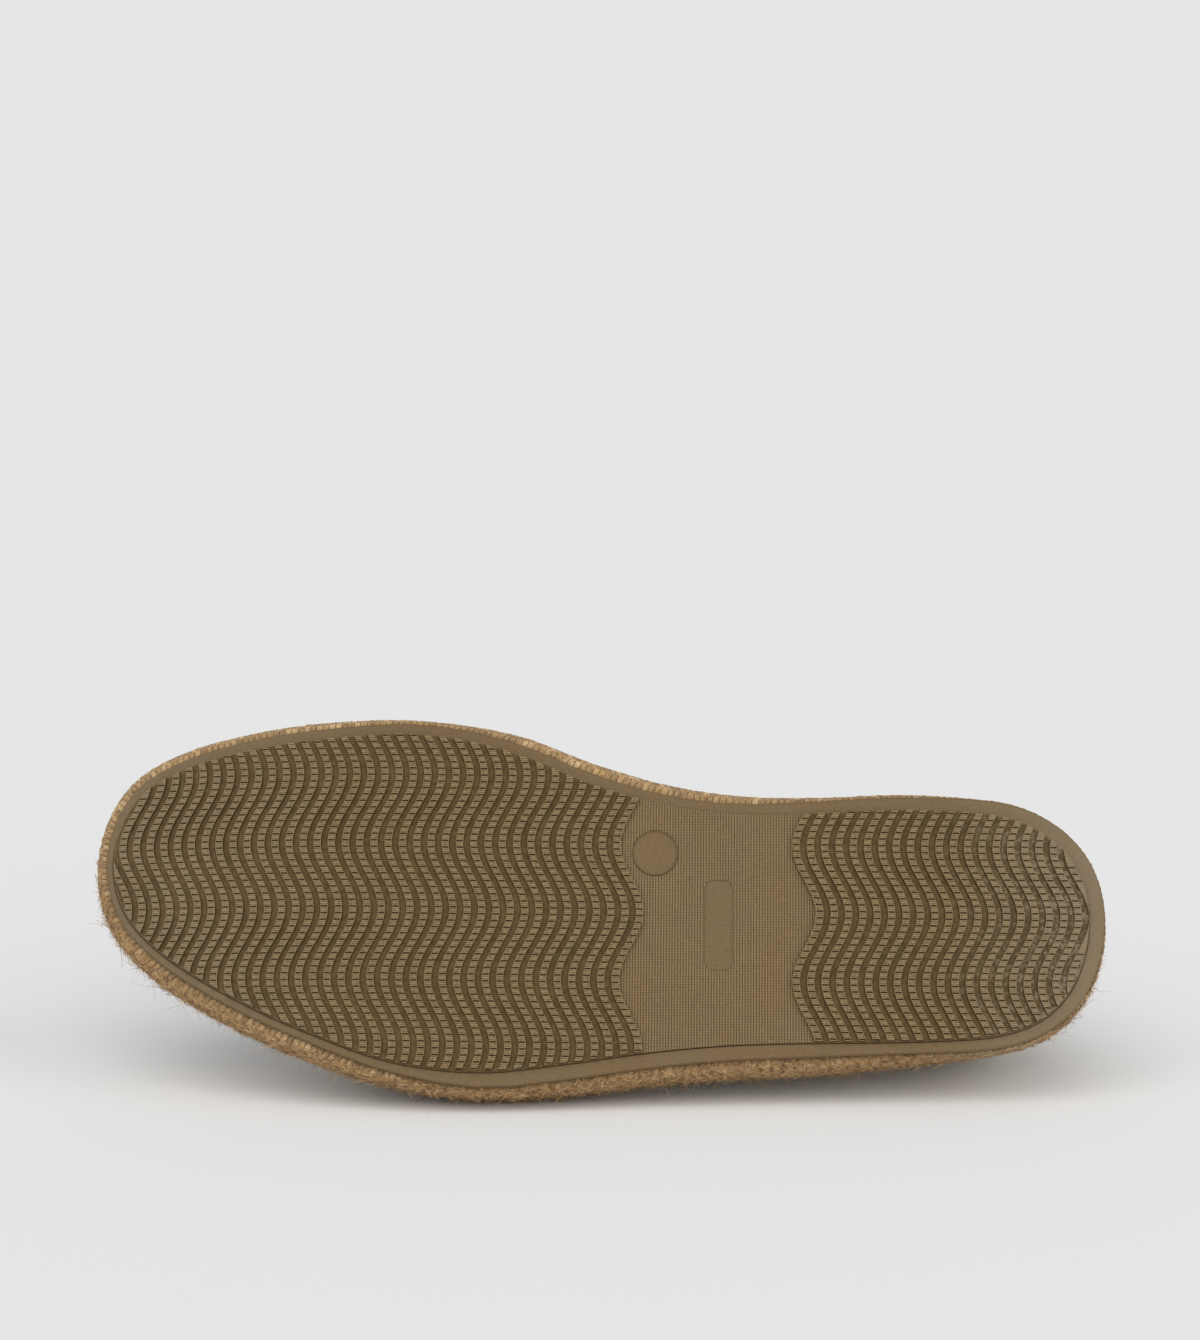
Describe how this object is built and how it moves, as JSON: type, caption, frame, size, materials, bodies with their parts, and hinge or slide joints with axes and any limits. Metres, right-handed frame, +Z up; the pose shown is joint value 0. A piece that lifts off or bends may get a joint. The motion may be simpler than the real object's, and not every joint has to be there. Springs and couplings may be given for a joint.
{
  "type": "espadrille",
  "caption": "Slip-on espadrille for the right foot lying on its outer side: wavy rubber tread, braided jute sole, hollow canvas upper and insole.",
  "frame": {"origin": "centre of the base of the shoe's box, on the floor that it lies on", "axes": "+X from the toe to the heel, +Y from the sole to the collar, +Z up; the sole faces -Y and leans back"},
  "size_m": [0.2918, 0.097, 0.1058],
  "materials": {
    "rubber": "matte",
    "jute": "matte",
    "canvas": "matte",
    "footbed": "matte"
  },
  "bodies": {
    "root": {"outsole": "rubber", "jute_midsole": "jute", "upper": "canvas", "insole": "footbed"}
  },
  "joints": []
}
